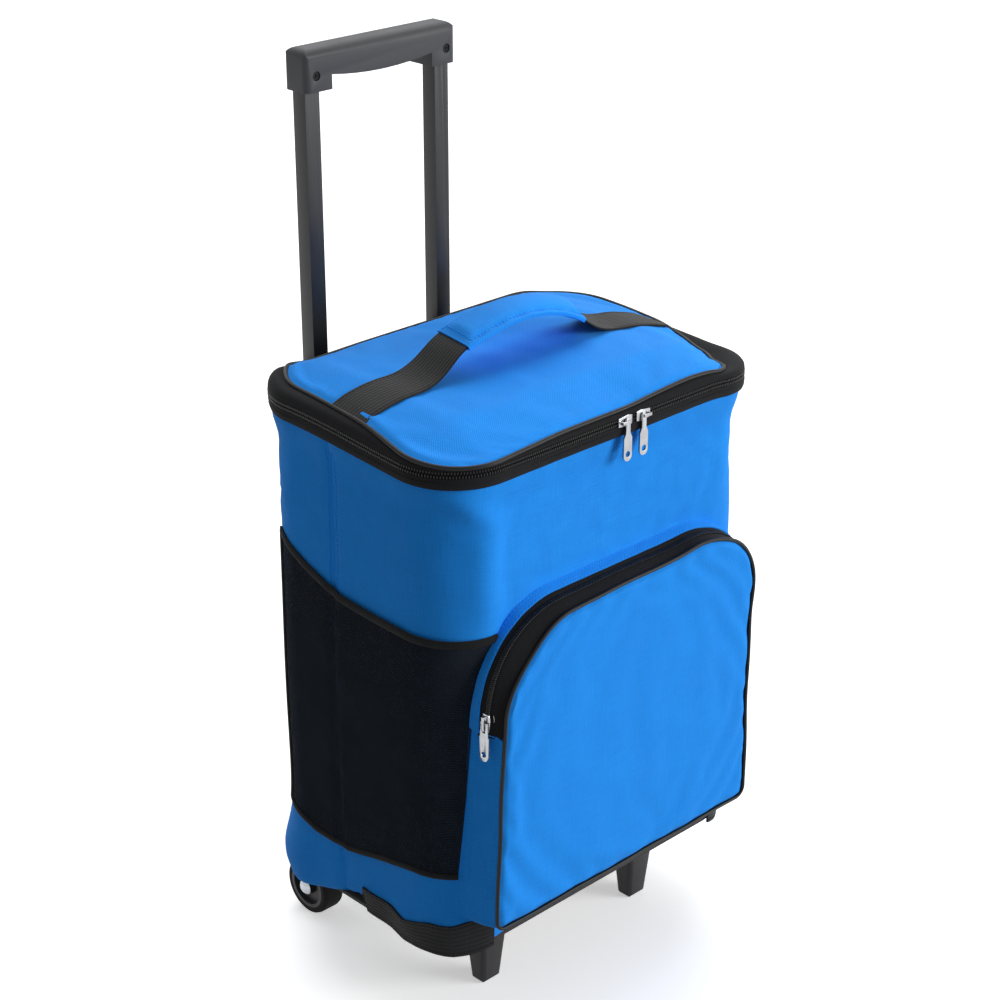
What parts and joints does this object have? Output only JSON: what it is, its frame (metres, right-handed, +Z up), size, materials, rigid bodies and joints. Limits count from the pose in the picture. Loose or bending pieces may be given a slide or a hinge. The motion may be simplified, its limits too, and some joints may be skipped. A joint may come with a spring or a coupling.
{
  "type": "cooler bag on wheels",
  "caption": "Soft insulated cooler bag on a wheeled trolley, with a telescopic pull handle, zipped lid, padded carry handle, zipped front pocket and mesh side pockets.",
  "frame": {"origin": "on the floor, under the middle of the whole object's box, with the pull handle out", "axes": "+Z up, -Y towards the front pocket, +X to the right seen from the front; the pull handle is at the back"},
  "size_m": [0.3402, 0.296, 0.708],
  "materials": {
    "black_plastic": "fine moulded grain",
    "grip_plastic": "fine moulded grain",
    "wheel_plastic": "satin",
    "tyre_rubber": "matte",
    "black_tube": "satin powder coat",
    "zinc": "bright plated",
    "black_screw": "black oxide",
    "axle_steel": "zinc plated",
    "blue_fabric": "plain-woven polyester",
    "black_fabric": "plain-woven polyester",
    "black_webbing": "ribbed webbing",
    "black_mesh": "fine warp-knit mesh",
    "zip_tape": "woven tape",
    "zip_teeth": "moulded coil",
    "piping": "smooth cord",
    "foam": "closed-cell foam",
    "foil_liner": "aluminised film",
    "board": "pressed board"
  },
  "bodies": {
    "bag_and_trolley": {"base_plate": "black_plastic", "foot_left": "black_plastic", "foot_right": "black_plastic", "wheel_bracket_left": "black_plastic", "wheel_bracket_right": "black_plastic", "axle": "axle_steel", "axle_cap_left": "zinc", "axle_cap_right": "zinc", "outer_tube_left": "black_tube", "outer_tube_right": "black_tube", "tube_shoe": "black_plastic", "tube_collar": "black_plastic", "back_board": "board", "frame_screws": "axle_steel", "trolley_sleeve": "black_fabric", "bottom_panel": "black_fabric", "base_board": "board", "front_wrap": "blue_fabric", "back_wrap": "blue_fabric", "insulation": "foam", "liner": "foil_liner", "lower_zip_tape": "zip_tape", "lower_zip_coil": "zip_teeth", "hinge_strip": "zip_tape", "pocket_gusset": "blue_fabric", "pocket_zip_tape": "zip_tape", "pocket_zip_coil": "zip_teeth", "pocket_piping": "piping", "pocket_panel": "blue_fabric", "mesh_pocket_left": "black_mesh", "mesh_pocket_right": "black_mesh", "mesh_binding_left": "black_webbing", "mesh_binding_right": "black_webbing", "base_strap_left": "black_webbing", "base_strap_right": "black_webbing"},
    "pull_handle": {"inner_tube_left": "black_tube", "inner_tube_right": "black_tube", "tube_plugs": "black_plastic", "grip": "grip_plastic", "grip_screws": "black_screw"},
    "wheel_left": {"wheel_hub_left": "wheel_plastic", "tyre_left": "tyre_rubber"},
    "wheel_right": {"wheel_hub_right": "wheel_plastic", "tyre_right": "tyre_rubber"},
    "lid": {"upper_zip_tape": "zip_tape", "upper_zip_coil": "zip_teeth", "lid_piping": "piping", "lid_panel": "blue_fabric", "lid_foam": "foam", "lid_liner": "foil_liner", "carry_webbing": "black_webbing", "carry_sleeve": "blue_fabric"},
    "slider_left": {"slider_left": "zinc"},
    "slider_right": {"slider_right": "zinc"},
    "pull_left": {"pull_left": "zinc"},
    "pull_right": {"pull_right": "zinc"},
    "pocket_slider": {"pocket_slider": "zinc"},
    "pocket_pull": {"pocket_pull": "zinc"}
  },
  "joints": [
    {"name": "handle_slide", "type": "slide", "parent": "bag_and_trolley", "child": "pull_handle", "axis": [0, 0, 1], "range_m": [-0.21, 0]},
    {"name": "wheel_left_spin", "type": "hinge", "parent": "bag_and_trolley", "child": "wheel_left", "pos_m": [-0.12, 0.092, 0.0245], "axis": [1, 0, 0], "continuous": true},
    {"name": "wheel_right_spin", "type": "hinge", "parent": "bag_and_trolley", "child": "wheel_right", "pos_m": [0.12, 0.092, 0.0245], "axis": [1, 0, 0], "continuous": true},
    {"name": "lid_hinge", "type": "hinge", "parent": "bag_and_trolley", "child": "lid", "pos_m": [0, 0.096, 0.4695], "axis": [-1, 0, 0], "range_deg": [0, 68]},
    {"name": "slider_left_slide", "type": "slide", "parent": "bag_and_trolley", "child": "slider_left", "axis": [1, 0, 0], "range_m": [-0.09, 0]},
    {"name": "slider_right_slide", "type": "slide", "parent": "bag_and_trolley", "child": "slider_right", "axis": [1, 0, 0], "range_m": [0, 0.07]},
    {"name": "pull_left_swing", "type": "hinge", "parent": "slider_left", "child": "pull_left", "pos_m": [0.004, -0.1329, 0.4695], "axis": [0, 1, 0], "range_deg": [-8, 50]},
    {"name": "pull_right_swing", "type": "hinge", "parent": "slider_right", "child": "pull_right", "pos_m": [0.021, -0.1329, 0.4695], "axis": [0, 1, 0], "range_deg": [-50, 8]},
    {"name": "pocket_slider_turn", "type": "hinge", "parent": "bag_and_trolley", "child": "pocket_slider", "pos_m": [-0.065, -0.135, 0.279], "axis": [0, 1, 0], "range_deg": [0, 80]},
    {"name": "pocket_pull_swing", "type": "hinge", "parent": "pocket_slider", "child": "pocket_pull", "pos_m": [-0.1421, -0.135, 0.279], "axis": [0, 1, 0], "range_deg": [0, 100]}
  ]
}
